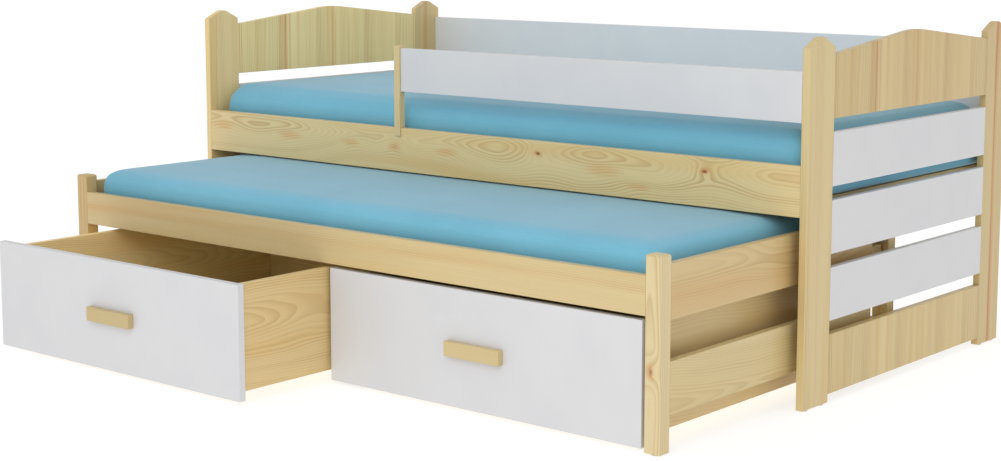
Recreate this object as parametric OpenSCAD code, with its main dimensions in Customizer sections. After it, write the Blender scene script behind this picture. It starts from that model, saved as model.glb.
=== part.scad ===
// Single bed in pine and white board, with a pull-out trundle bed below it and two drawers on castors.
// The origin is on the floor, at the middle of the whole bed as it stands with the trundle and the left
// drawer pulled out. +X runs along the bed, -Y is the side that the trundle and the drawers pull out to.

/* [Mattresses] */
// Length of the main mattress
mattress_l = 1900; // [1800:10:2000]
// Width of both mattresses
mattress_w = 900; // [860:10:1000]
// Thickness of the main mattress
mattress_h = 161.5; // [120:0.5:165]
// Length of the trundle mattress, shorter by the thickness of the trundle's own ends
trundle_mattress_l = 1800; // [1700:10:1900]
// Thickness of the trundle mattress
trundle_mattress_h = 95; // [70:5:95]
// Radius of the mattress corners in plan
mattress_r = 60; // [20:5:80]

/* [Bed frame] */
// Thickness of the solid pine boards
board_t = 18; // [16:1:20]
// Thickness of the white boards
white_t = 16; // [14:1:18]
// Width of an end post, front to back
post_w = 108; // [90:1:130]
// Height of a post's shoulders
post_h = 795; // [790:5:850]
// Rise of a post's gable above its shoulders, before its tip is rounded
post_rise = 27; // [15:1:40]
// Underside of the side rails
rail_z = 429; // [429:1:440]
// Height of the side rails
rail_h = 112; // [100:2:130]
// Top edge of the white back panel
back_top_z = 766; // [700:2:790]
// Height of a white end slat
end_slat_h = 119.5; // [100:0.5:121]
// Gap between one end board and the next
end_gap = 30.5; // [28:0.5:40]
// Underside of the lowest end board
end_foot_z = 21; // [15:1:25]
// Height of the lowest end board
end_foot_h = 136; // [110:1:140]
// Height of the crest panel where it meets the posts
crest_h = 140; // [100:1:150]
// Rise of the crest panel from the posts to its middle, before it is rounded
crest_rise = 41; // [20:1:60]

/* [Guard] */
// Distance from the left post to the guard's upright
guard_x = 713; // [500:1:1000]
// Side of the square guard upright
guard_post = 20; // [16:1:30]
// Top of the guard upright
guard_post_top = 751; // [740:1:790]
// Underside of the guard panel
guard_z = 634.5; // [620:0.5:650]
// Height of the guard panel
guard_h = 110.5; // [80:0.5:115]

/* [Trundle] */
// How far the trundle stands out from the bed
trundle_out = 480; // [0:1:900]
// Space between the trundle and each end of the bed
trundle_side_gap = 22; // [10:1:30]
// Width of a trundle leg along the bed
leg_w = 39; // [30:1:50]
// Depth of a trundle leg, front to back
leg_d = 34; // [25:1:45]
// Height of a trundle leg
leg_h = 410; // [400:1:420]
// Underside of the trundle's front and rear rails
trundle_rail_z = 283; // [280:1:290]
// Height of the trundle's front and rear rails
trundle_rail_h = 83; // [70:1:90]
// Underside of the upper end rails
end_rail_z = 275; // [270:1:280]
// Height of the upper end rails
end_rail_h = 115; // [90:1:120]
// Underside of the lower end rails
low_rail_z = 80; // [60:1:100]
// Height of the lower end rails
low_rail_h = 111; // [90:1:115]
// Distance from the end rails' rear ends to the rear legs
end_rail_short = 76; // [0:1:120]

/* [Drawers] */
// How far the left drawer stands open
drawer_open = 276; // [0:1:500]
// Height of a drawer front above the floor
front_z = 10; // [6:1:16]
// Height of a drawer front
front_h = 264; // [240:1:266]
// Depth of a drawer box behind its front
drawer_d = 820; // [600:10:840]
// Space between the drawer fronts and beside them
drawer_gap = 7; // [4:1:10]
// Thickness of a drawer's sides and back
side_t = 15; // [12:1:18]
// Distance from a front's left end to its box
box_left_inset = 78; // [3:1:100]
// Distance from a front's right end to its box
box_right_inset = 3; // [1:1:10]
// Length of a handle
handle_l = 156; // [120:2:200]
// Height of a handle
handle_h = 34; // [20:1:40]
// How far a handle stands out
handle_d = 16; // [12:1:25]
// Diameter of a castor wheel
wheel_d = 25; // [20:1:25]
// Distance from a drawer box's walls to its castors
castor_inset = 110; // [80:5:150]

/* [Hidden] */
$fn = 48;

PINE = [0.82, 0.71, 0.52];
WHITE = [0.88, 0.88, 0.89];
SKY_BLUE = [0.44, 0.70, 0.80];
STEEL = [0.70, 0.71, 0.73];
NYLON = [0.20, 0.20, 0.21];
PALE_NYLON = [0.78, 0.75, 0.68];

slack = 10;                               // room between a mattress and the frame round it
soft_gap = 0.3;                           // air between a mattress and the slats below it
glide_h = 3;                              // thickness of the glides under posts and legs
rail_l = mattress_l + slack;              // clear length between the end posts
bed_w = mattress_w + 2 * slack + 2 * board_t;
bed_front = (trundle_out + drawer_open + handle_d - bed_w) / 2;
bed_rear = bed_front + bed_w;
end_inner = rail_l / 2;                   // inner face of the end posts
end_outer = end_inner + board_t;

bed_slat_t = 15;
trundle_slat_t = 18;
slat_w = 62;
slat_play = 2;                            // room at each end of a bed slat
ledger_w = 25;
ledger_h = 10;
mattress_z = mattress_top_z() - mattress_h;
slat_z = mattress_z - bed_slat_t;

trundle_end = end_inner - trundle_side_gap;   // outer face of the trundle's ends
trundle_front = bed_front - trundle_out;
trundle_rear = trundle_front + bed_w;
trundle_mattress_z = 328;
trundle_slat_z = trundle_mattress_z - trundle_slat_t;
batten_h = 26;

front_l = (2 * (trundle_end - leg_w) - 3 * drawer_gap) / 2;
box_l = front_l - box_left_inset - box_right_inset;
box_z = 31;                               // underside of the drawer box
bottom_t = 12;
wheel_r = wheel_d / 2;
wheel_w = 14;
axle_r = 3;
axle_play = 0.05;
cheek_t = 2;
plate_t = 2;

dowel_r = 4;
dowel_l = 60;
dowel_side = 35;                          // a pair of dowels sits this far each side of a board's middle

function mattress_top_z() = rail_z + rail_h + 74.5;
function end_slat_z(i) = end_foot_z + end_foot_h + end_gap + i * (end_slat_h + end_gap);
function crest_z() = end_slat_z(3);
function drawer_x(side) = side * (front_l + drawer_gap) / 2;
function box_x(side) = drawer_x(side) + (box_left_inset - box_right_inset) / 2;
function drawer_front(side) = trundle_front - (side < 0 ? drawer_open : 0);

// Outline of a gable of width w: two slopes and a tip rounded to radius r between them.
function gable(w, rise, r, n = 14) =
  let (a = atan(2 * rise / w), cz = rise - r / cos(a))
  concat([[0, 0]],
         [for (i = [0:n]) let (t = 90 + a - 2 * a * i / n) [w / 2 + r * cos(t), cz + r * sin(t)]],
         [[w, 0]]);

// A board from its lowest corner and its size.
module board(at, size) translate(at) cube(size);

// An outline drawn in Y and Z becomes a board t thick along X, from x upwards.
module upright_board(x, t) translate([x, 0, 0]) rotate([90, 0, 90]) linear_extrude(t) children();

// Copies a left-hand piece to the end of the bed on that side: -1 is the left, 1 the right.
module at_end(side) mirror([side > 0 ? 1 : 0, 0, 0]) children();

module dowels_across(z, y, n = 2)
  for (i = [0:n - 1], end = [-1, 1])
    translate([-end_outer + white_t / 2, y, z + (i - (n - 1) / 2) * 2 * dowel_side])
      rotate([90, 0, 0]) cylinder(r = dowel_r, h = dowel_l, center = true);

// The dowels that join the boards of one end to its two posts.
module end_dowel_set(y)
  for (z = concat([for (i = [0:2]) end_slat_z(i) + end_slat_h / 2],
                  [end_foot_z + end_foot_h / 2, crest_z() + crest_h / 2]))
    dowels_across(z, y);

module post(side, front) {
  y = front ? bed_front : bed_rear - post_w;
  color(PINE) at_end(side) difference() {
    upright_board(-end_outer, board_t)
      translate([y, 0]) union() {
        translate([0, glide_h]) square([post_w, post_h - glide_h]);
        translate([0, post_h]) polygon(gable(post_w, post_rise, 36));
      }
    end_dowel_set(front ? y + post_w : y);
  }
}

module crest_panel(side) {
  w = bed_w - 2 * post_w;
  color(PINE) at_end(side) difference() {
    upright_board(-end_outer, board_t)
      translate([bed_front + post_w, crest_z()]) union() {
        square([w, crest_h]);
        translate([0, crest_h]) polygon(gable(w, crest_rise, 420, 24));
      }
    for (y = [bed_front + post_w, bed_rear - post_w]) end_dowel_set(y);
  }
}

module end_slats(side) {
  color(WHITE) at_end(side) difference() {
    for (i = [0:2])
      board([-end_outer, bed_front + post_w, end_slat_z(i)],
            [white_t, bed_w - 2 * post_w, end_slat_h]);
    for (y = [bed_front + post_w, bed_rear - post_w]) end_dowel_set(y);
  }
}

module foot_panel(side) {
  color(PINE) at_end(side) difference() {
    board([-end_outer, bed_front + post_w, end_foot_z], [board_t, bed_w - 2 * post_w, end_foot_h]);
    for (y = [bed_front + post_w, bed_rear - post_w]) end_dowel_set(y);
  }
}

module end_dowels()
  color(PINE) for (side = [-1, 1], y = [bed_front + post_w, bed_rear - post_w])
    at_end(side) end_dowel_set(y);

module front_rail()
  color(PINE) board([-end_inner, bed_front, rail_z], [rail_l, board_t, rail_h]);

module rear_rail()
  color(PINE) board([-end_inner, bed_rear - board_t, rail_z], [rail_l, board_t, rail_h]);

module back_panel()
  color(WHITE) board([-end_inner, bed_rear - white_t, rail_z + rail_h],
                     [rail_l, white_t, back_top_z - rail_z - rail_h]);

// The upright stands on the front rail and laps a little way down the rail's face.
module guard_upright() {
  lap = 4;
  lap_drop = 21;
  x = -end_inner + guard_x;
  foot = rail_z + rail_h;
  color(PINE) {
    board([x, bed_front - lap, foot], [guard_post, guard_post, guard_post_top - foot]);
    board([x, bed_front - lap, foot - lap_drop], [guard_post, lap, lap_drop]);
  }
}

module guard_panel()
  color(WHITE) board([-end_inner + guard_x + guard_post, bed_front, guard_z],
                     [rail_l - guard_x - guard_post, white_t, guard_h]);

module bed_ledgers()
  color(PINE) for (y = [bed_front + board_t, bed_rear - board_t - ledger_w])
    board([-end_inner + 40, y, slat_z - ledger_h], [rail_l - 80, ledger_w, ledger_h]);

// A row of n slats from the left end of a space l long: y and z of their front lower edge, length, thickness.
module slat_row(l, n, y, z, w, t)
  for (i = [0:n - 1])
    board([-l / 2 + i * (l - slat_w) / (n - 1), y, z], [slat_w, w, t]);

module bed_slats()
  color(PINE) slat_row(rail_l - 60, 14, bed_front + board_t + slat_play, slat_z,
                       bed_w - 2 * board_t - 2 * slat_play, bed_slat_t);

// Steel angles inside the four corners hold the side rails to the posts.
module rail_brackets() {
  wing = 36;
  thick = 3;
  tall = 44;
  color(STEEL) for (side = [-1, 1], back = [0, 1])
    at_end(side) mirror([0, back, 0])
      translate([-end_inner, back ? board_t - bed_rear : bed_front + board_t, rail_z + 30])
        difference() {
          union() {
            cube([wing, thick, tall]);
            cube([thick, wing, tall]);
          }
          for (h = [12, 32]) {
            translate([wing - 12, -1, h]) rotate([-90, 0, 0]) cylinder(r = 2.2, h = thick + 2);
            translate([-1, wing - 12, h]) rotate([0, 90, 0]) cylinder(r = 2.2, h = thick + 2);
          }
        }
}

module post_glides()
  color(PALE_NYLON) for (side = [-1, 1], y = [bed_front, bed_rear - post_w], k = [0.2, 0.8])
    translate([side * (end_inner + board_t / 2), y + k * post_w, 0]) cylinder(r = 7.5, h = glide_h);

// A mattress of that size with its underside at z and its middle at y.
module mattress(l, w, h, y, z)
  translate([0, y, z]) linear_extrude(h) union() {
    square([l - 2 * mattress_r, w], center = true);
    square([l, w - 2 * mattress_r], center = true);
    for (i = [-1, 1], k = [-1, 1])
      translate([i * (l / 2 - mattress_r), k * (w / 2 - mattress_r)]) circle(r = mattress_r);
  }

module main_mattress()
  color(SKY_BLUE) mattress(mattress_l - 4, mattress_w, mattress_h - soft_gap,
                           (bed_front + bed_rear) / 2, mattress_z + soft_gap);

// The top of a trundle leg is rounded over on all four edges.
module trundle_leg(side, front) {
  y = front ? trundle_front : trundle_rear - leg_d;
  color(PINE) at_end(side) intersection() {
    translate([-trundle_end, y + leg_d, 0]) rotate([90, 0, 0]) linear_extrude(leg_d) leg_face(leg_w);
    translate([-trundle_end, y, 0]) rotate([90, 0, 90]) linear_extrude(leg_w) leg_face(leg_d);
  }
}

module leg_face(w) {
  r = 6;
  translate([0, glide_h]) square([w, leg_h - r - glide_h]);
  translate([r, glide_h]) square([w - 2 * r, leg_h - glide_h]);
  for (x = [r, w - r]) translate([x, leg_h - r]) circle(r = r);
}

module trundle_front_rail()
  color(PINE) board([-trundle_end + leg_w, trundle_front, trundle_rail_z],
                    [2 * (trundle_end - leg_w), board_t, trundle_rail_h]);

module trundle_rear_rail()
  color(PINE) board([-trundle_end + leg_w, trundle_rear - board_t, trundle_rail_z],
                    [2 * (trundle_end - leg_w), board_t, trundle_rail_h]);

// An end rail stops short of the rear leg. The batten inside it runs on to the leg.
module trundle_end_rail(side, z, h)
  color(PINE) at_end(side)
    board([-trundle_end, trundle_front + leg_d, z],
          [board_t, bed_w - 2 * leg_d - end_rail_short, h]);

module trundle_end_battens()
  color(PINE) for (side = [-1, 1], z = [trundle_slat_z - batten_h, low_rail_z + 30])
    at_end(side) board([-trundle_end + board_t, trundle_front + leg_d, z],
                       [batten_w(), bed_w - 2 * leg_d, batten_h]);

function batten_w() = leg_w - board_t - 3;

module trundle_ledgers()
  color(PINE) for (y = [trundle_front + board_t, trundle_rear - board_t - ledger_w + 4])
    board([-trundle_end + leg_w + 2, y, trundle_slat_z - batten_h],
          [2 * (trundle_end - leg_w - 2), ledger_w - 4, batten_h]);

module trundle_slats()
  color(PINE) slat_row(2 * (trundle_end - leg_w) - 8, 13, trundle_front + board_t + slat_play,
                       trundle_slat_z, bed_w - 2 * board_t - 2 * slat_play, trundle_slat_t);

module trundle_glides()
  color(PALE_NYLON) for (side = [-1, 1], y = [trundle_front + leg_d / 2, trundle_rear - leg_d / 2])
    translate([side * (trundle_end - leg_w / 2), y, 0]) cylinder(r = 12, h = glide_h);

// The trundle mattress lies between the legs and between the upper end rails.
module trundle_mattress()
  color(SKY_BLUE) mattress(trundle_mattress_l - 4, mattress_w, trundle_mattress_h - soft_gap,
                           (trundle_front + trundle_rear) / 2, trundle_mattress_z + soft_gap);

module drawer_front_board(side)
  color(WHITE) board([drawer_x(side) - front_l / 2, drawer_front(side), front_z],
                     [front_l, board_t, front_h]);

module drawer_handle(side)
  color(PINE) board([drawer_x(side) - handle_l / 2, drawer_front(side) - handle_d,
                     front_z + (front_h - handle_h) / 2],
                    [handle_l, handle_d, handle_h]);

// Side a is the left wall of the box and side b the right one.
module drawer_side(side, wall)
  color(PINE) board([box_x(side) + (wall < 0 ? -box_l / 2 : box_l / 2 - side_t),
                     drawer_front(side) + board_t, box_z],
                    [side_t, drawer_d, front_z + front_h - box_z]);

module drawer_back(side)
  color(PINE) board([box_x(side) - box_l / 2 + side_t, drawer_front(side) + board_t + drawer_d - side_t,
                     box_z],
                    [box_l - 2 * side_t, side_t, front_z + front_h - box_z]);

module drawer_bottom(side)
  color(PINE) board([box_x(side) - box_l / 2 + side_t, drawer_front(side) + board_t, box_z],
                    [box_l - 2 * side_t, drawer_d - side_t, bottom_t]);

// The axle of castor k: 0 and 1 are the front pair, 2 and 3 the rear pair.
function castor_at(side, k) = [
  box_x(side) + (k % 2 == 0 ? -1 : 1) * (box_l / 2 - castor_inset),
  drawer_front(side) + board_t + (k < 2 ? castor_inset : drawer_d - castor_inset),
  wheel_r
];

// A fixed castor: a plate under the drawer, two cheeks and the axle between them.
module castor_fork() {
  cheek_x = wheel_w / 2 + 1;
  top = box_z - wheel_r;
  translate([-21, -16, top - plate_t]) cube([42, 32, plate_t]);
  for (end = [-1, 1])
    translate([end * (cheek_x + cheek_t / 2) - cheek_t / 2, 0, 0]) rotate([90, 0, 90])
      linear_extrude(cheek_t) union() {
        translate([-8, 0]) square([16, top - plate_t]);
        circle(r = 8);
      }
  rotate([0, 90, 0]) cylinder(r = axle_r, h = 2 * cheek_x + 2 * cheek_t + 2, center = true);
}

module drawer_castors(side)
  color(STEEL) for (k = [0:3]) translate(castor_at(side, k)) castor_fork();

module drawer_wheel(side, k)
  color(NYLON) translate(castor_at(side, k)) rotate([0, 90, 0]) difference() {
    rotate_extrude() polygon([[0, -wheel_w / 2], [7, -wheel_w / 2], [8, -5.5], [wheel_r - 3, -5.5],
                              [wheel_r - 2, -wheel_w / 2], [wheel_r - 1, -wheel_w / 2],
                              [wheel_r, -wheel_w / 2 + 1], [wheel_r, wheel_w / 2 - 1],
                              [wheel_r - 1, wheel_w / 2], [wheel_r - 2, wheel_w / 2],
                              [wheel_r - 3, 5.5], [8, 5.5], [7, wheel_w / 2], [0, wheel_w / 2]]);
    cylinder(r = axle_r + axle_play, h = wheel_w + 2, center = true);
  }

post(-1, true);  // post_front_left
post(-1, false);  // post_rear_left
post(1, true);  // post_front_right
post(1, false);  // post_rear_right
crest_panel(-1);  // crest_panel_left
crest_panel(1);  // crest_panel_right
end_slats(-1);  // end_slats_left
end_slats(1);  // end_slats_right
foot_panel(-1);  // foot_panel_left
foot_panel(1);  // foot_panel_right
end_dowels();
front_rail();
rear_rail();
back_panel();
guard_upright();
guard_panel();
bed_ledgers();
bed_slats();
rail_brackets();
post_glides();
main_mattress();
trundle_leg(-1, true);  // trundle_leg_front_left
trundle_leg(-1, false);  // trundle_leg_rear_left
trundle_leg(1, true);  // trundle_leg_front_right
trundle_leg(1, false);  // trundle_leg_rear_right
trundle_front_rail();
trundle_rear_rail();
trundle_end_rail(-1, end_rail_z, end_rail_h);  // trundle_upper_end_rail_left
trundle_end_rail(1, end_rail_z, end_rail_h);  // trundle_upper_end_rail_right
trundle_end_rail(-1, low_rail_z, low_rail_h);  // trundle_lower_end_rail_left
trundle_end_rail(1, low_rail_z, low_rail_h);  // trundle_lower_end_rail_right
trundle_end_battens();
trundle_ledgers();
trundle_slats();
trundle_glides();
trundle_mattress();
drawer_front_board(-1);  // drawer_left_front
drawer_handle(-1);  // drawer_left_handle
drawer_side(-1, -1);  // drawer_left_side_a
drawer_side(-1, 1);  // drawer_left_side_b
drawer_back(-1);  // drawer_left_back
drawer_bottom(-1);  // drawer_left_bottom
drawer_castors(-1);  // drawer_left_castors
drawer_wheel(-1, 0);  // drawer_left_wheel_1
drawer_wheel(-1, 1);  // drawer_left_wheel_2
drawer_wheel(-1, 2);  // drawer_left_wheel_3
drawer_wheel(-1, 3);  // drawer_left_wheel_4
drawer_front_board(1);  // drawer_right_front
drawer_handle(1);  // drawer_right_handle
drawer_side(1, -1);  // drawer_right_side_a
drawer_side(1, 1);  // drawer_right_side_b
drawer_back(1);  // drawer_right_back
drawer_bottom(1);  // drawer_right_bottom
drawer_castors(1);  // drawer_right_castors
drawer_wheel(1, 0);  // drawer_right_wheel_1
drawer_wheel(1, 1);  // drawer_right_wheel_2
drawer_wheel(1, 2);  // drawer_right_wheel_3
drawer_wheel(1, 3);  // drawer_right_wheel_4
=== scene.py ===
# %% [markdown]
# # A pine bed with a trundle bed and two drawers
# This lesson dresses a packed bed for a studio picture. The boards are already there as exact solids, so
# the work is in their finishes, in the eased edges that catch the light, and in the two soft mattresses.
# The first cell loads the frame that everything else is built around, and keeps its size for later.

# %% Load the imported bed
import math
import bmesh
import bpy
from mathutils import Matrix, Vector


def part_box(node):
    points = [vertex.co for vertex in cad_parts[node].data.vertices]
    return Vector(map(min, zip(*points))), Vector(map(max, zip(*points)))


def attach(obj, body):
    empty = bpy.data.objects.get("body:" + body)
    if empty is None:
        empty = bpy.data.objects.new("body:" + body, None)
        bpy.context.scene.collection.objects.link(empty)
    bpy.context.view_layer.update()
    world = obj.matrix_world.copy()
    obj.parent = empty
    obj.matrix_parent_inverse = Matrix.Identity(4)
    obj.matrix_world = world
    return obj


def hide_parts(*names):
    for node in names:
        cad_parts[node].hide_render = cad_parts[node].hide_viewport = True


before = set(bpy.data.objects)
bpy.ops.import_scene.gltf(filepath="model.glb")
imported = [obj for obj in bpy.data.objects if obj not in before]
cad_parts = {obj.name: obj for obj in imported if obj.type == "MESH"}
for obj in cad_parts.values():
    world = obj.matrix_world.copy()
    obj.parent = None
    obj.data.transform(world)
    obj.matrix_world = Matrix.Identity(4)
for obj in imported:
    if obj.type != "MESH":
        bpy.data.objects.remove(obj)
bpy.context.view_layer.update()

scene = bpy.context.scene

# %% [markdown]
# ## The camera
# The bed is seen from the right of its front, from a little above the top of its ends. A long lens keeps
# the boards calm. The camera looks slightly down, and a small shift brings the bed to the middle of the
# wide frame. Turning the camera further down would tilt the posts, which is why part of it is shift.

# %% Camera
CAMERA_AT = Vector((3.000, -3.509, 1.055))
CAMERA_TURN, CAMERA_DOWN = math.radians(40.21), math.radians(7.57)
SENSOR_MM, LENS_MM, LENS_SHIFT = 36.0, 66.36, -0.06
lens = bpy.data.cameras.new("studio_lens")
lens.sensor_width, lens.lens, lens.shift_y = SENSOR_MM, LENS_MM, LENS_SHIFT
camera = bpy.data.objects.new("studio_camera", lens)
camera.location = CAMERA_AT
camera.rotation_euler = (math.pi / 2 - CAMERA_DOWN, 0, CAMERA_TURN)
scene.collection.objects.link(camera)
scene.camera = camera

# %% [markdown]
# ## Writing finishes as sums
# A finish is a small program that runs at every point of a surface. In the node editor each sum is a box
# with wires. Here a Wire stands for a node's output, and writing `1 - knot` adds the Math node for it.
# Everything that isn't a sum comes from one method, `node`, so every finish below reads like a recipe.

# %% Wires and finishes
class Wire:
    """The output of a node. Sums written with it add Math nodes."""

    def __init__(self, finish, socket):
        self.finish, self.socket = finish, socket

    def sum(self, operation, *terms):
        return self.finish.node("Math", {"operation": operation}, dict(enumerate(terms)))

    def __add__(self, other):
        return self.sum("ADD", self, other)

    def __radd__(self, other):
        return self.sum("ADD", other, self)

    def __sub__(self, other):
        return self.sum("SUBTRACT", self, other)

    def __rsub__(self, other):
        return self.sum("SUBTRACT", other, self)

    def __mul__(self, other):
        return self.sum("MULTIPLY", self, other)

    def __rmul__(self, other):
        return self.sum("MULTIPLY", other, self)

    def __truediv__(self, other):
        return self.sum("DIVIDE", self, other)


class Finish:
    """A material that is being written, with its Principled shader ready at the end."""

    def __init__(self, name):
        self.material = bpy.data.materials.new(name)
        self.material.use_nodes = True
        self.tree = self.material.node_tree
        self.shader = self.tree.nodes["Principled BSDF"]

    def plug(self, node, sockets):
        """Gives the sockets of a node their values, or links them where the value is a wire."""
        for key, value in sockets.items():
            if isinstance(value, Wire):
                self.tree.links.new(value.socket, node.inputs[key])
            else:
                node.inputs[key].default_value = value

    def node(self, kind, settings=None, sockets=None, out=0):
        """Adds a node, makes its settings first and then its sockets, and gives one of its outputs."""
        made = self.tree.nodes.new("ShaderNode" + kind)
        for key, value in (settings or {}).items():
            if key == "stops":
                ramp = made.color_ramp.elements
                while len(ramp) < len(value):
                    ramp.new(0.5)
                for stop, (place, colour) in zip(ramp, value):
                    stop.position, stop.color = place, colour
            else:
                setattr(made, key, value)
        self.plug(made, sockets or {})
        return Wire(self, made.outputs[out])

    def mix(self, mask, first, second):
        """One colour turning into another where the mask is 1."""
        return self.node("Mix", {"data_type": "RGBA"}, {0: mask, 6: first, 7: second}, out=2)

    def fade(self, value, start, end, low=0.0, high=1.0):
        """A soft step from low, where the value is at start, to high, where it is at end."""
        return self.node("MapRange", {"interpolation_type": "SMOOTHSTEP"},
                         {0: value, 1: start, 2: end, 3: low, 4: high})

    def place(self):
        """The three coordinates of a point on the bed, in metres."""
        point = self.node("TexCoord", out="Object")
        split = self.node("SeparateXYZ", sockets={0: point}).socket.node
        return [Wire(self, socket) for socket in split.outputs]

    def join(self, x, y, z):
        return self.node("CombineXYZ", sockets={0: x, 1: y, 2: z})

    def noise(self, vector, scale=1.0, detail=2.0, out=0):
        return self.node("TexNoise", {"noise_dimensions": "3D"},
                         {"Vector": vector, "Scale": scale, "Detail": detail}, out)

    def bump(self, height, strength, distance):
        return self.node("Bump", sockets={"Strength": strength, "Distance": distance, "Height": height})


def shade(red, green, blue):
    """A colour given as on a paint card, 0 to 255, in the linear light that the shader counts in."""
    return tuple(((c / 255 + 0.055) / 1.055) ** 2.4 for c in (red, green, blue)) + (1.0,)


print("pine is about", [round(c, 2) for c in shade(216, 195, 144)])

# %% [markdown]
# ## Pine
# A board is a slice of a trunk, and its figure is the trunk's rings cut by the saw. So the finish doesn't
# draw lines on a surface. It works out how far each point was from the heart of the tree, and colours it by
# where it falls inside its yearly ring: pale early wood, then a thin darker band of late wood. The heart
# lies a little way behind the board and leans, and that alone gives the long arches of a flat-sawn board,
# straight lines on a quartered one, and true end grain, all from the same recipe. Slow noise bends the
# rings. Panels glued from staves start a new tree at each stave.

# %% Colours and rings of pine
EARLY_WOOD, LATE_WOOD, HONEY = shade(217, 197, 147), shade(184, 148, 92), shade(210, 176, 112)
AMBER, RED_BROWN, KNOT_HEART = shade(202, 142, 70), shade(170, 104, 60), shade(104, 48, 26)
CREAM = shade(226, 212, 170)
RING = 0.0042
YEAR = ((0.0, 0.0), (0.3, 0.06), (0.82, 0.9), (0.92, 1.0), (1.0, 0.0))
X, Y, Z = 0, 1, 2


def length(wood, one, other):
    """How long a line is whose two sides are given."""
    return wood.node("Math", {"operation": "SQRT"}, {0: one * one + other * other})


def late_wood(wood, year):
    """0 in the pale wood that a year starts with, rising to 1 in the dark wood that it ends with."""
    fraction = wood.node("Math", {"operation": "FRACT"}, {0: year})
    return wood.node("ValToRGB", {"stops": [(at, (dark, dark, dark, 1)) for at, dark in YEAR]}, {0: fraction})


print("a yearly ring is about", RING * 1000, "mm wide")

# %% [markdown]
# A knot is where a branch left the trunk. The rings bulge round it, the wood near it is amber, and only a
# branch that was cut through shows a dark core. Some branches stay hidden under the face, and then there
# is just an amber patch. Two larger things shape the figure of a long board: a swirl, where the rings pass
# round something wide, and a crook, where the trunk itself was bent. Each adds to the distance from the
# heart, so the rings follow by themselves.

# %% Knots, swirls, crooks and streaks
KNOT_SQUEEZE, PATCH_SQUEEZE, SWIRL_SQUEEZE = 0.55, 0.3, 1.6


def turn_rings(wood, radius, along, side, swirls, crooks):
    """swirls hold (along, side, reach, rise), and crooks hold (start, end, rise)."""
    for swirl_along, swirl_side, reach, rise in swirls:
        gap = length(wood, along - swirl_along, (side - swirl_side) * SWIRL_SQUEEZE)
        radius = radius + wood.fade(gap, reach, 0.0, 0.0, rise)
    for start, end, rise in crooks:
        radius = radius + wood.fade(along, start, end, 0.0, rise)
    return radius


def grow_knots(wood, radius, along, side, knots):
    """knots hold (along, side, size, dark). Where dark is 0 the knot is only an amber patch. Gives the
    rings that bulge round them, and masks of the amber halos, the cores and the cores' hearts."""
    halo, core, heart_dot = 0.0, 0.0, 0.0
    for knot_along, knot_side, size, dark in knots:
        squeeze = KNOT_SQUEEZE if dark else PATCH_SQUEEZE
        gap = length(wood, (along - knot_along) * squeeze, side - knot_side)
        radius = radius + wood.fade(gap, size * 5.0, 0.0, 0.0, size * 1.5)
        halo = halo + wood.fade(gap, size * 2.2, size * 0.5)
        if dark:
            core = core + wood.fade(gap, size, size * 0.55, 0.0, dark)
            heart_dot = heart_dot + wood.fade(gap, size * 0.5, size * 0.25, 0.0, dark)
    return radius, halo, core, heart_dot


def draw_streaks(wood, colour, side, late, cloud, streaks):
    """streaks hold (side, half width, strength, hue). They run along the grain, broken by the clouds, and
    are strongest in the late wood."""
    for middle, half, strength, hue in streaks:
        off = side - middle
        line = wood.fade(off * off, half * half, 0.0, 0.0, strength)
        broken = line * wood.fade(cloud, 0.3, 0.6, 0.35, 1.0)
        colour = wood.mix(broken * (0.55 + late * 0.45), colour, hue)
    return colour


print("knots are", round(1 / KNOT_SQUEEZE, 1), "times as long as they are wide")

# %% [markdown]
# The recipe puts these together. It finds the point in the trunk, turns the distance from the heart into
# years, and lays the colours over each other from the palest up: early and late wood, honey clouds, streaks
# and knots. Long, thin fibres roughen the gloss and the surface. At the end the board's tint is multiplied
# in. On most boards it is their own tone, since no two boards in a shop are equally pale. On a few it is
# painted light as well: a paler tint that makes up for the shade that they stand in.

# %% Pine recipe
BEND_ALONG, BEND_ACROSS = 2.1, 9.0
FIBRE_ALONG, FIBRE_ACROSS = 9.0, 620.0
CLOUD_ALONG, CLOUD_ACROSS = 1.3, 16.0
KNOT_WANDER, STREAK_WANDER = 0.020, 0.022
FIBRE_DEPTH = 0.00035


def wander(wood, own, side, deep, seed):
    """Three slow noises, each from 0 to 1, that bend whatever they are added to."""
    vector = wood.join(own * BEND_ALONG, side * BEND_ACROSS, deep * BEND_ACROSS + seed)
    slow = wood.noise(vector, 1.0, 1.5, out=1)
    parts = wood.node("SeparateColor", sockets={0: slow}).socket.node
    return [Wire(wood, part) for part in parts.outputs]


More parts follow.
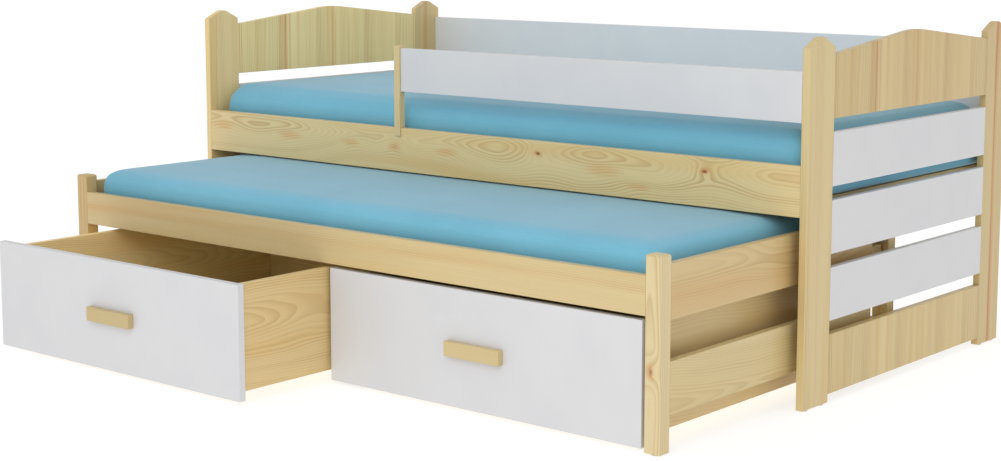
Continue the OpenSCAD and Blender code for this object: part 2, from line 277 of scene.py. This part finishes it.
def pine(name, node, grain, across, heart=(0.03, 0.045), lean=(0.0, 0.02), ring=RING, bend=0.016,
         contrast=0.42, knots=(), swirls=(), crooks=(), streaks=(), stave=0.0, seed=0.0,
         tint=(1.0, 1.0, 1.0), dull=0.36):
    """The finish of one board, in metres from its lowest corner. grain and across are the axes of its
    length and width. heart says how far the tree's heart lies up the width and behind the board, lean how
    that changes along it, and bend how far the rings wander. ring is the width of a year, contrast the
    strength of its late wood, stave the width of one glued stave, and dull about how rough the surface
    is. seed picks the tree."""
    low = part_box(node)[0]
    wood = Finish(name)
    spot = wood.place()
    along, side, deep = (spot[axis] - low[axis] for axis in (grain, across, 3 - grain - across))

    own, slip, tone, heart_side = along + seed, 0.0, 0.0, side - heart[0]
    if stave:
        number = wood.node("Math", {"operation": "FLOOR"}, {0: side / stave})
        chance = wood.node("TexWhiteNoise", {"noise_dimensions": "1D"}, {"W": number + seed})
        own, slip, tone = along + chance * 3.7, chance * 0.9, chance - 0.5
        heart_side = side - number * stave + slip * 0.3 - heart[0]

    drift = wander(wood, own, side + slip, deep + slip, seed)
    from_side = heart_side + lean[0] * along + (drift[0] - 0.5) * bend * 2
    from_deep = deep + heart[1] + lean[1] * along + slip * 0.06 + (drift[1] - 0.5) * bend * 2
    radius = turn_rings(wood, length(wood, from_side, from_deep), along, side, swirls, crooks)
    radius, halo, core, heart_dot = grow_knots(wood, radius, along, side + (drift[0] - 0.5) * KNOT_WANDER,
                                               knots)
    year = radius / ring
    late = late_wood(wood, year)
    good_years = wood.noise(wood.join(year * 0.23, own * 0.8, seed + 3.1), 1.0, 1.0)
    across_fibre = (side + slip) * FIBRE_ACROSS
    fibre = wood.noise(wood.join(own * FIBRE_ALONG, across_fibre, deep * FIBRE_ACROSS), 1.0, 2.0)
    across_cloud = (side + slip) * CLOUD_ACROSS
    cloud = wood.noise(wood.join(own * CLOUD_ALONG + 5.0, across_cloud, deep * CLOUD_ACROSS), 1.0, 1.0)

    band = late * wood.fade(good_years, 0.30, 0.72, 0.25, 1.35) * contrast
    colour = wood.mix(band, EARLY_WOOD, LATE_WOOD)
    colour = wood.mix(wood.fade(cloud, 0.50, 0.76, 0.0, 0.5), colour, HONEY)
    colour = draw_streaks(wood, colour, side + (drift[2] - 0.5) * STREAK_WANDER, late, cloud, streaks)
    if knots:
        colour = wood.mix(halo * (0.22 + late * 0.4), colour, AMBER)
    if isinstance(core, Wire):
        colour = wood.mix(core * (0.6 + fibre * 0.5), colour, RED_BROWN)
        colour = wood.mix(heart_dot, colour, KNOT_HEART)
    light = 1.0 + (fibre - 0.5) * 0.10
    if stave:
        light = light + tone * 0.09
    # The tint holds the board's own tone. On a few boards it is also painted light, a paler tint against
    # shade.
    board_tone_and_painted_light = wood.node("CombineColor", sockets={place: light * part for place, part in enumerate(tint)})
    colour = wood.node("Mix", {"data_type": "RGBA", "blend_type": "MULTIPLY"},
                       {0: 1.0, 6: colour, 7: board_tone_and_painted_light}, out=2)

    rough = dull + (fibre - 0.5) * 0.16 + (1 - late) * 0.06
    relief = wood.bump(late * 0.5 + fibre * 0.5, 0.22, FIBRE_DEPTH)
    wood.plug(wood.shader, {"Base Color": colour, "Roughness": rough, "Normal": relief,
                            "Coat Weight": 0.25, "Coat Roughness": 0.22, "IOR": 1.48})
    return wood.material


def dress(node, material):
    """Gives a board its finish in place of the plain one that it came with."""
    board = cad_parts[node]
    board.data.materials.clear()
    board.data.materials.append(material)


print("fibres are", round(1000 / FIBRE_ACROSS, 1), "mm wide")

# %% [markdown]
# ## Boards of the bed
# The side rails run along the bed. The front one is the showpiece: flat-sawn, with amber patches near its
# left end and small tight knots further right that the grain swirls round. The heart of its tree lies near
# its upper edge, so the rings run straight along the lower half and close into long arches above. The
# tree was a little crooked, and each crook turns the arches round.

# %% Side rails
rail_knots = [(0.055, 0.073, 0.008, 0.0), (0.32, 0.066, 0.008, 0.0), (0.553, 0.066, 0.006, 0.0),
              (0.71, 0.066, 0.008, 0.12), (0.89, 0.064, 0.007, 0.0), (1.184, 0.080, 0.006, 0.85),
              (1.38, 0.058, 0.010, 0.0), (1.48, 0.026, 0.006, 0.0), (1.664, 0.081, 0.006, 0.85)]
rail_swirls = [(1.21, 0.085, 0.17, 0.026), (1.69, 0.085, 0.17, 0.026)]
rail_crooks = [(0.28, 0.62, 0.050), (0.66, 1.15, -0.040), (1.28, 1.60, 0.024)]
dress("front_rail", pine("pine_front_rail", "front_rail", X, Z, heart=(0.088, 0.016), lean=(0.002, 0.004),
                         ring=0.0050, bend=0.010, contrast=0.55, knots=rail_knots, swirls=rail_swirls,
                         crooks=rail_crooks, seed=1.7, tint=(1.09, 1.07, 1.02)))
dress("rear_rail", pine("pine_rear_rail", "rear_rail", X, Z, heart=(0.05, 0.02), lean=(0.0, 0.03),
                        knots=[(0.62, 0.05, 0.008, 0.6)], seed=8.3))
print("front rail has", len(rail_knots), "knots and amber patches")

# %% [markdown]
# The four posts stand upright with fine, nearly straight grain. The rear ones carry a long orange streak of
# resin wood, and the front ones only thin lines of it. The heart of each tree lies well to one side, so the
# saw met the rings almost on edge. A streak could be a band laid over the board, but as a part of the
# recipe it wavers and breaks up with the grain.

# %% End posts
# The front left post's tint is painted light: it is much paler than the others to make up for the shade on
# it. The other tints are the posts' own tone.
post_tones_and_painted_light = {"front_left": (1.25, 1.21, 1.16), "front_right": (0.95, 0.94, 0.88),
              "rear_left": (1.0, 0.96, 0.88), "rear_right": (0.88, 0.85, 0.76)}
post_streaks = {
    "front_left": [(0.026, 0.0022, 0.55, AMBER), (0.006, 0.002, 0.3, RED_BROWN)],
    "front_right": [(0.007, 0.0016, 0.35, RED_BROWN), (0.03, 0.003, 0.3, AMBER)],
    "rear_left": [(0.045, 0.010, 0.9, AMBER), (0.05, 0.003, 0.7, RED_BROWN),
                  (0.023, 0.0015, 0.3, RED_BROWN)],
    "rear_right": [(0.056, 0.016, 1.0, AMBER), (0.054, 0.006, 2.0, AMBER), (0.053, 0.0025, 0.8, RED_BROWN)],
}
for place, (corner, streaks) in enumerate(post_streaks.items()):
    dress("post_" + corner, pine("pine_post_" + corner, "post_" + corner, Z, Y, heart=(-0.03, 0.02),
                                 lean=(0.004, 0.0), ring=0.0046, bend=0.008, contrast=0.45,
                                 streaks=streaks, seed=2.0 + 4.1 * place, tint=post_tones_and_painted_light[corner]))
print(len(post_streaks), "posts dressed")

# %% [markdown]
# The crest and foot panels are glued from upright staves, each from another tree. With one figure from edge
# to edge they would look like veneer, so the recipe starts afresh at each stave and shifts its tone a
# little. On the crest a narrow group of reddish lines stands out, with a pale band beside it.

# %% Crest and foot panels
STAVE = 0.0925
crest_streaks = [(0.174, 0.022, 0.45, AMBER), (0.164, 0.004, 0.5, RED_BROWN), (0.184, 0.004, 0.7, RED_BROWN),
                 (0.199, 0.004, 0.75, RED_BROWN), (0.219, 0.018, 0.75, CREAM),
                 (0.233, 0.007, 0.6, AMBER), (0.366, 0.020, 0.3, AMBER), (0.374, 0.004, 0.4, RED_BROWN),
                 (0.455, 0.005, 0.35, AMBER), (0.523, 0.005, 0.4, RED_BROWN), (0.61, 0.006, 0.3, AMBER)]
foot_streaks = [(0.195, 0.005, 0.4, AMBER), (0.217, 0.009, 0.6, AMBER), (0.243, 0.022, 0.7, CREAM),
                (0.27, 0.008, 0.45, AMBER)]
# The left crest faces into the bed and stands in shade, so its tint is painted light, much paler than the
# rest. The other tints are the panels' own tone.
panel_tones_and_painted_light = {"crest_panel_left": (1.31, 1.32, 1.22), "crest_panel_right": (0.90, 0.85, 0.74),
               "foot_panel_left": (0.92, 0.88, 0.76), "foot_panel_right": (0.92, 0.88, 0.76)}
for end in ("left", "right"):
    for board, streaks in (("crest_panel_", crest_streaks), ("foot_panel_", foot_streaks)):
        dress(board + end, pine("pine_" + board + end, board + end, Z, Y, heart=(0.02, 0.05), ring=0.0052,
                                lean=(0.01, 0.0), bend=0.012, contrast=0.78, streaks=streaks,
                                stave=STAVE, seed=11.0, tint=panel_tones_and_painted_light[board + end]))
print(len(panel_tones_and_painted_light), "panels glued from staves of", round(STAVE * 1000, 1), "mm")

# %% [markdown]
# The trundle's rails have a quieter figure than the bed's front rail. Its legs are sawn from thicker,
# nearly square stock. Each board names only what sets it apart: where its tree's heart lay, its knots and
# streaks, and its tint.

# %% Trundle boards
dress("trundle_front_rail", pine("pine_trundle_front", "trundle_front_rail", X, Z, heart=(0.30, 0.02),
                                 lean=(0.01, 0.01), ring=0.0048, bend=0.02, contrast=0.32, seed=5.5,
                                 streaks=[(0.05, 0.012, 0.25, AMBER)], tint=(0.94, 0.92, 0.89)))
dress("trundle_rear_rail", pine("pine_trundle_rear", "trundle_rear_rail", X, Z, heart=(0.2, 0.02), seed=6.5))
leg_marks = {
    "front_left": ([], [(0.012, 0.005, 0.7, AMBER), (0.026, 0.003, 0.5, RED_BROWN)], (0.86, 0.79, 0.68)),
    "front_right": ([(0.169, 0.016, 0.0065, 0.5)], [], (1.0, 1.02, 1.08)),
    "rear_left": ([], [(0.02, 0.004, 0.3, AMBER)], (0.95, 0.92, 0.85)),
    "rear_right": ([(0.3, 0.02, 0.006, 0.4)], [], (0.95, 0.92, 0.85)),
}
for place, (corner, (knots, streaks, tint)) in enumerate(leg_marks.items()):
    dress("trundle_leg_" + corner, pine("pine_leg_" + corner, "trundle_leg_" + corner, Z, X,
                                        heart=(0.01, 0.03), lean=(0.0, 0.012), ring=0.005, bend=0.012,
                                        contrast=0.45, knots=knots, streaks=streaks, seed=3.3 * place + 1,
                                        tint=tint))
end_rail_marks = {
    "upper": (0.10, [(0.102, 0.026, 0.55, CREAM), (0.03, 0.03, 0.25, AMBER)], (0.90, 0.82, 0.71)),
    "lower": (0.03, [(0.102, 0.026, 0.55, CREAM)], (0.92, 0.90, 0.82)),
}
for place, (level, (heart_side, streaks, tint)) in enumerate(end_rail_marks.items()):
    for end in ("left", "right"):
        board = "trundle_" + level + "_end_rail_" + end
        dress(board, pine("pine_" + board, board, Y, Z, heart=(heart_side, 0.012), lean=(0.06, 0.03),
                          ring=0.0046, bend=0.022, contrast=0.4, streaks=streaks, seed=7.7 + 3 * place,
                          tint=tint))
print("trundle boards dressed")

# %% [markdown]
# Slats, ledgers, battens, dowels and the upright of the guard are only planed, so they are rougher and
# a little duller. Slats that sit in one row are one part, and the stave recipe changes the tree about
# once a slat.

# %% Planed boards
SLAT_STAVE = 0.1375
for row in ("bed_slats", "trundle_slats"):
    dress(row, pine("raw_" + row, row, Y, X, heart=(0.03, 0.03), bend=0.014, stave=SLAT_STAVE, seed=4.0,
                    tint=(0.97, 0.97, 0.97), dull=0.55))
for board, grain, across in (("bed_ledgers", X, Z), ("trundle_ledgers", X, Z), ("trundle_end_battens", Y, Z),
                             ("end_dowels", Y, Z), ("guard_upright", Z, X)):
    dress(board, pine("pine_" + board, board, grain, across, heart=(0.05, 0.03), bend=0.01, seed=9.0,
                      contrast=0.3, dull=0.45))
print("planed boards dressed")

# %% [markdown]
# The drawer boxes are of thin planed pine with a wavy figure, and the handles are short blocks of it. The
# waves are nothing new, only the same rings bent further. Boards that show their inner side get a paler
# tint. It is painted light: little light reaches the inside of a box, and the paler tint makes up for it.

# %% Drawer boards
# The inner boards' tint is painted light: it is paler than the outer side's to make up for the shade inside
# the boxes.
inside_painted_light_tint, outside_tint = (1.36, 1.34, 1.32), (1.0, 0.94, 0.84)
handle_tints = ((0.79, 0.76, 0.67), (0.88, 0.86, 0.81))
for place, drawer in enumerate(("drawer_left_", "drawer_right_")):
    for board, grain, across, seed in (("side_a", Y, Z, 2.2), ("side_b", Y, Z, 6.1), ("back", X, Z, 4.4),
                                       ("bottom", X, Y, 5.9)):
        dress(drawer + board, pine("pine_" + drawer + board, drawer + board, grain, across,
                                   heart=(0.16, 0.015), lean=(0.03, 0.035), ring=0.006, bend=0.035,
                                   contrast=0.5 - 0.25 * place, seed=seed + 3 * place, dull=0.42,
                                   tint=outside_tint if board == "side_b" else inside_painted_light_tint))
    dress(drawer + "handle", pine("pine_" + drawer + "handle", drawer + "handle", X, Z, heart=(0.05, 0.02),
                                  ring=0.005, bend=0.012, contrast=0.35, seed=1.1 + place,
                                  tint=handle_tints[place]))
print("two drawers dressed")

# %% [markdown]
# ## White board
# The white slats, fronts, guard and back are board with a rolled, matt coating. A rolled coat is never flat
# like glass: it has a faint pebbled skin, and it is a little thinner and more open at places. The colour
# stays a cool pale grey, because a pure white would lose every edge in soft light. The back panel gets a
# paler copy of the coat, painted light that makes up for the shade it stands in.

# %% White coating
PEBBLES_PER_METRE, ROLLER_PATCHES_PER_METRE = 900.0, 7.0


def white_coating(name, pale):
    """A matt coat. pale is its lightness, 0 to 255."""
    coat = Finish(name)
    spot = coat.join(*coat.place())
    pebble = coat.noise(spot, PEBBLES_PER_METRE, 2.0)
    roll = coat.noise(spot, ROLLER_PATCHES_PER_METRE, 2.0)
    colour = coat.mix(coat.fade(roll, 0.3, 0.7), shade(pale - 2, pale - 2, pale),
                      shade(pale + 1, pale + 1, pale + 2))
    coat.plug(coat.shader, {"Base Color": colour, "Roughness": 0.46 + (roll - 0.5) * 0.1,
                            "Normal": coat.bump(pebble, 0.12, 0.0002),
                            "Coat Weight": 0.1, "Coat Roughness": 0.3})
    return coat.material


white = white_coating("white_board_coating", 212)
# The back panel's coat is painted lighter than the other white boards, to make up for the shade it stands in.
back_white_painted_lighter = white_coating("white_board_back_painted_lighter", 232)
white_boards = ["end_slats_left", "end_slats_right", "guard_panel", "drawer_left_front", "drawer_right_front"]
for board in white_boards:
    dress(board, white)
dress("back_panel", back_white_painted_lighter)
print(len(white_boards), "white parts")

# %% [markdown]
# ## Fittings
# Angles and castors are pressed steel with a zinc coat, which shows as a fine patchwork of grey crystals.
# Wheels are dark moulded nylon, and the glides under the posts and legs are pale nylon. All of them are
# small and mostly hidden, so two short recipes do: a pattern of cells for the crystals, and a fine grain
# with a little dust on it for the nylon.

# %% Steel and nylon
CRYSTALS_PER_METRE, SMEARS_PER_METRE = 420.0, 60.0
GRAINS_PER_METRE, DUST_PER_METRE = 1400.0, 80.0


def zinc_plate():
    zinc = Finish("zinc_plated_steel")
    spot = zinc.join(*zinc.place())
    grain = zinc.node("TexVoronoi", sockets={"Vector": spot, "Scale": CRYSTALS_PER_METRE})
    smear = zinc.noise(spot, SMEARS_PER_METRE, 3.0)
    zinc.plug(zinc.shader, {"Base Color": zinc.mix(smear, shade(176, 178, 182), shade(206, 208, 210)),
                            "Metallic": 1.0, "Roughness": 0.28 + grain * 0.25 + smear * 0.1,
                            "Normal": zinc.bump(grain, 0.1, 0.0001)})
    return zinc.material


def moulded_nylon(name, dark, light):
    nylon = Finish(name)
    spot = nylon.join(*nylon.place())
    skin = nylon.noise(spot, GRAINS_PER_METRE, 2.0)
    dust = nylon.noise(spot, DUST_PER_METRE, 2.0)
    nylon.plug(nylon.shader, {"Base Color": nylon.mix(dust, dark, light),
                              "Roughness": 0.42 + dust * 0.15, "Normal": nylon.bump(skin, 0.2, 0.0002)})
    return nylon.material


zinc = zinc_plate()
wheel_nylon = moulded_nylon("dark_nylon", shade(52, 52, 55), shade(66, 66, 69))
glide_nylon = moulded_nylon("pale_nylon", shade(204, 198, 182), shade(214, 208, 194))
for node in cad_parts:
    if node.endswith("castors") or node == "rail_brackets":
        dress(node, zinc)
    elif "wheel" in node:
        dress(node, wheel_nylon)
    elif node.endswith("glides"):
        dress(node, glide_nylon)
print("fittings dressed")

# %% [markdown]
# ## Eased edges
# No joiner leaves a board with a knife edge. The arrises are taken off with fine paper, and this thin round
# is what catches the light and draws each board. A Bevel modifier does it without touching the solid. The
# solids arrive as loose triangles, so a Weld first joins their corners, and a Decimate that only dissolves
# flat areas makes whole faces of them. Without that, Bevel also rounds the slivers between triangles.

# %% Ease the edges
EASE = {"pine": 0.0016, "white_board": 0.0011, "raw": 0.0012}
SAME_CORNER = 0.00002
SAME_PLANE, SHARP_EDGE = math.radians(0.5), math.radians(50)


def ease(node, width):
    """Takes the sharp edges off a board. width is how far the round reaches on each side of an edge."""
    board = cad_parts[node]
    weld = board.modifiers.new("join_corners", "WELD")
    weld.merge_threshold = SAME_CORNER
    whole = board.modifiers.new("whole_faces", "DECIMATE")
    whole.decimate_type, whole.angle_limit = "DISSOLVE", SAME_PLANE
    bevel = board.modifiers.new("eased_edges", "BEVEL")
    bevel.width, bevel.segments, bevel.profile = width, 3, 0.5
    bevel.limit_method, bevel.angle_limit = "ANGLE", SHARP_EDGE
    bevel.use_clamp_overlap, bevel.harden_normals, bevel.material = False, True, -1


eased = 0
for node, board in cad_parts.items():
    finish = board.data.materials[0].name
    for kind, width in EASE.items():
        if finish.startswith(kind) and node != "end_dowels":
            ease(node, width)
            eased += 1
print(eased, "parts with eased edges")

# %% [markdown]
# ## Mattresses
# A foam mattress in a stretched cotton cover is a soft block: flat below, where it lies on the slats, with
# its top edges pulled round and a slight crown. It could be a bevelled box, but that shows its straight
# offsets. Here the block is cut a little small, remeshed into even cloth, and blown up by a cloth
# simulation with a small pressure inside. Each point may only move a few millimetres, and none may leave
# the space between the boards.

# %% Mattress helpers
VOXEL = 0.0145
CORNER, UNDER_EDGE = 0.030, 0.010
PRESSURE, FRAMES = 4.0, 20


def foam_block(name, low, high, corner, edge):
    """A block with rounded upright corners and top edges. Its lower edges are only slightly rounded."""
    shape = bmesh.new()
    bmesh.ops.create_cube(shape, size=1.0)
    bmesh.ops.scale(shape, vec=high - low, verts=shape.verts)
    bmesh.ops.translate(shape, vec=(low + high) / 2, verts=shape.verts)
    uprights = [e for e in shape.edges if abs(e.verts[0].co.z - e.verts[1].co.z) > 0.01]
    bmesh.ops.bevel(shape, geom=uprights, offset=corner, affect="EDGES", segments=8, profile=0.5, material=-1)
    for level, reach in ((high.z, edge), (low.z, UNDER_EDGE)):
        rim = [e for e in shape.edges if all(abs(v.co.z - level) < 1e-5 for v in e.verts)]
        bmesh.ops.bevel(shape, geom=rim, offset=reach, affect="EDGES", segments=6, profile=0.5, material=-1)
    mesh = bpy.data.meshes.new(name)
    shape.to_mesh(mesh)
    shape.free()
    block = bpy.data.objects.new(name, mesh)
    scene.collection.objects.link(block)
    return block


def bake_shape(piece):
    """Makes a mesh of the piece as its modifiers leave it, and takes them off."""
    shaped = bpy.data.meshes.new_from_object(piece.evaluated_get(bpy.context.evaluated_depsgraph_get()))
    piece.modifiers.clear()
    piece.data = shaped


def fill_with_air(piece, cap, low, high):
    """Blows the cloth up, then holds every point within cap of where it was and inside the space."""
    cloth = piece.modifiers.new("cloth", "CLOTH")
    cloth.settings.use_pressure = True
    cloth.settings.uniform_pressure_force = PRESSURE
    cloth.settings.effector_weights.gravity = 0.0
    cloth.settings.quality = 5
    cloth.point_cache.frame_start, cloth.point_cache.frame_end = 1, FRAMES
    start = [v.co.copy() for v in piece.data.vertices]
    for step in range(1, FRAMES + 1):
        scene.frame_set(step)
    bake_shape(piece)
    for vertex, was in zip(piece.data.vertices, start):
        move = vertex.co - was
        if move.length > cap:
            move *= cap / move.length
        spot = was + move
        vertex.co = [min(max(s, a), b) for s, a, b in zip(spot, low, high)]
    scene.frame_set(1)


def mattress(name, node, edge, sides, cap, shrink):
    """A mattress in the place of its solid, cut smaller by shrink. It may reach past the solid's low and
    high corners by sides, and no point of it moves more than cap."""
    low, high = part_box(node)
    inset = Vector(shrink)
    piece = foam_block(name, low + inset * Vector((1, 1, 0)), high - inset, CORNER, edge)
    remesh = piece.modifiers.new("even_cloth", "REMESH")
    remesh.mode, remesh.voxel_size = "VOXEL", VOXEL
    bake_shape(piece)
    fill_with_air(piece, cap, low + Vector(sides[0]), high + Vector(sides[1]))
    for face in piece.data.polygons:
        face.use_smooth = True
    finer = piece.modifiers.new("smooth_cloth", "SUBSURF")
    finer.levels = finer.render_levels = 1
    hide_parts(node)
    print(name, len(piece.data.polygons), "faces,", [round(v, 3) for v in high - low], "m")
    return piece


print("the cloth is worked out in squares of", VOXEL * 1000, "mm")

# %% [markdown]
# The cover is a smooth sky-blue cotton. Its weave repeats about every millimetre, so from across a room it
# only softens the light, and the fuzz on it shows as a pale, slightly lilac sheen wherever the cloth is
# seen at a low angle. The weave is worked out from the three coordinates at once, so that it runs true
# on the top and on every side.

# %% Cotton cover
COVER_DEEP, COVER_PALE, COVER_THREAD = shade(111, 180, 204), shade(118, 187, 211), shade(78, 148, 176)
THREAD = 0.0012
SLUBS_ALONG, SLUBS_ACROSS = 40, 300
FADED_PER_METRE, PUCKERS_PER_METRE = 3.2, 24.0


def cotton_cover():
    cotton = Finish("sky_blue_cotton")
    x, y, z = cotton.place()
    turns = 2 * math.pi / THREAD
    wave = [cotton.node("Math", {"operation": "SINE"}, {0: axis * turns}) for axis in (x, y, z)]
    weave = wave[0] * wave[1] + wave[1] * wave[2] + wave[2] * wave[0]
    spot = cotton.join(x, y, z)
    slub = cotton.noise(cotton.join(x * SLUBS_ALONG, y * SLUBS_ACROSS, z * SLUBS_ACROSS), 1.0, 2.0)
    soft = cotton.noise(spot, FADED_PER_METRE, 2.0)
    pucker = cotton.noise(spot, PUCKERS_PER_METRE, 2.0)
    colour = cotton.mix(cotton.fade(soft, 0.3, 0.7), COVER_DEEP, COVER_PALE)
    colour = cotton.mix(weave * 0.04 + (slub - 0.5) * 0.25 + 0.1, colour, COVER_THREAD)
    height = weave * 0.12 + slub * 0.3 + pucker * 2.0
    cotton.plug(cotton.shader, {"Base Color": colour, "Roughness": 0.78 + (slub - 0.5) * 0.15,
                                "Normal": cotton.bump(height, 0.35, 0.0006),
                                "Sheen Weight": 0.42, "Sheen Roughness": 0.45,
                                "Sheen Tint": (0.95, 0.93, 1.0, 1.0)})
    return cotton.material


cover = cotton_cover()
upper = mattress("upper_mattress", "main_mattress", edge=0.060, cap=0.007,
                 sides=((-0.004, -0.006, 0), (0.004, 0.006, 0.004)), shrink=(0.003, 0.004, 0.004))
lower = mattress("trundle_bed_mattress", "trundle_mattress", edge=0.040, cap=0.006,
                 sides=((-0.002, -0.006, 0), (0.002, 0.006, 0.002)), shrink=(0.002, 0.004, 0.003))
for piece, body in ((upper, "bed_frame"), (lower, "trundle")):
    piece.data.materials.clear()
    piece.data.materials.append(cover)
    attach(piece, body)

# %% [markdown]
# ## Studio
# The bed stands on a seamless white floor under plain soft light. Most of the light comes evenly from all
# round, as from a white room. One large soft lamp at the front right gives the fronts a little more than
# the ends, so that the boards read as solid. The floor glows by itself, so that it is as pale as the room
# behind it and the bed seems to stand in white.

# %% Floor and light
FLOOR_RADIUS, FLOOR_GAP, FLOOR_GLOW = 60.0, 0.0006, 0.73
ROOM_LIGHT, ROOM_SEEN = 0.74, 1.0


def studio_floor():
    shape = bmesh.new()
    bmesh.ops.create_circle(shape, cap_ends=True, radius=FLOOR_RADIUS, segments=96)
    mesh = bpy.data.meshes.new("studio_floor")
    shape.to_mesh(mesh)
    shape.free()
    floor = bpy.data.objects.new("studio_floor", mesh)
    floor.location.z = -FLOOR_GAP
    scene.collection.objects.link(floor)
    paint = Finish("studio_floor_paint")
    paint.plug(paint.shader, {"Base Color": (0.36, 0.36, 0.36, 1), "Roughness": 0.9,
                              "Emission Color": (1, 1, 1, 1), "Emission Strength": FLOOR_GLOW})
    mesh.materials.append(paint.material)
    return floor


def soft_lamp(name, at, toward, size, power):
    lamp = bpy.data.lights.new(name, "AREA")
    lamp.shape, lamp.size, lamp.energy = "SQUARE", size, power
    holder = bpy.data.objects.new(name, lamp)
    holder.location = at
    holder.rotation_euler = (Vector(toward) - Vector(at)).to_track_quat("-Z", "Y").to_euler()
    scene.collection.objects.link(holder)


studio_floor()
room = bpy.data.worlds.new("studio_room")
room.use_nodes = True
sky = room.node_tree.nodes["Background"]
sky.inputs["Color"].default_value = (1.0, 1.0, 1.0, 1.0)
paths = room.node_tree.nodes.new("ShaderNodeLightPath")
choice = room.node_tree.nodes.new("ShaderNodeMapRange")
choice.inputs["To Min"].default_value, choice.inputs["To Max"].default_value = ROOM_LIGHT, ROOM_SEEN
room.node_tree.links.new(paths.outputs["Is Camera Ray"], choice.inputs["Value"])
room.node_tree.links.new(choice.outputs["Result"], sky.inputs["Strength"])
scene.world = room
soft_lamp("front_lamp", at=(2.0, -4.2, 3.4), toward=(0, 0, 0.4), size=3.0, power=72.0)
scene.view_settings.view_transform = "Standard"
print("studio ready")
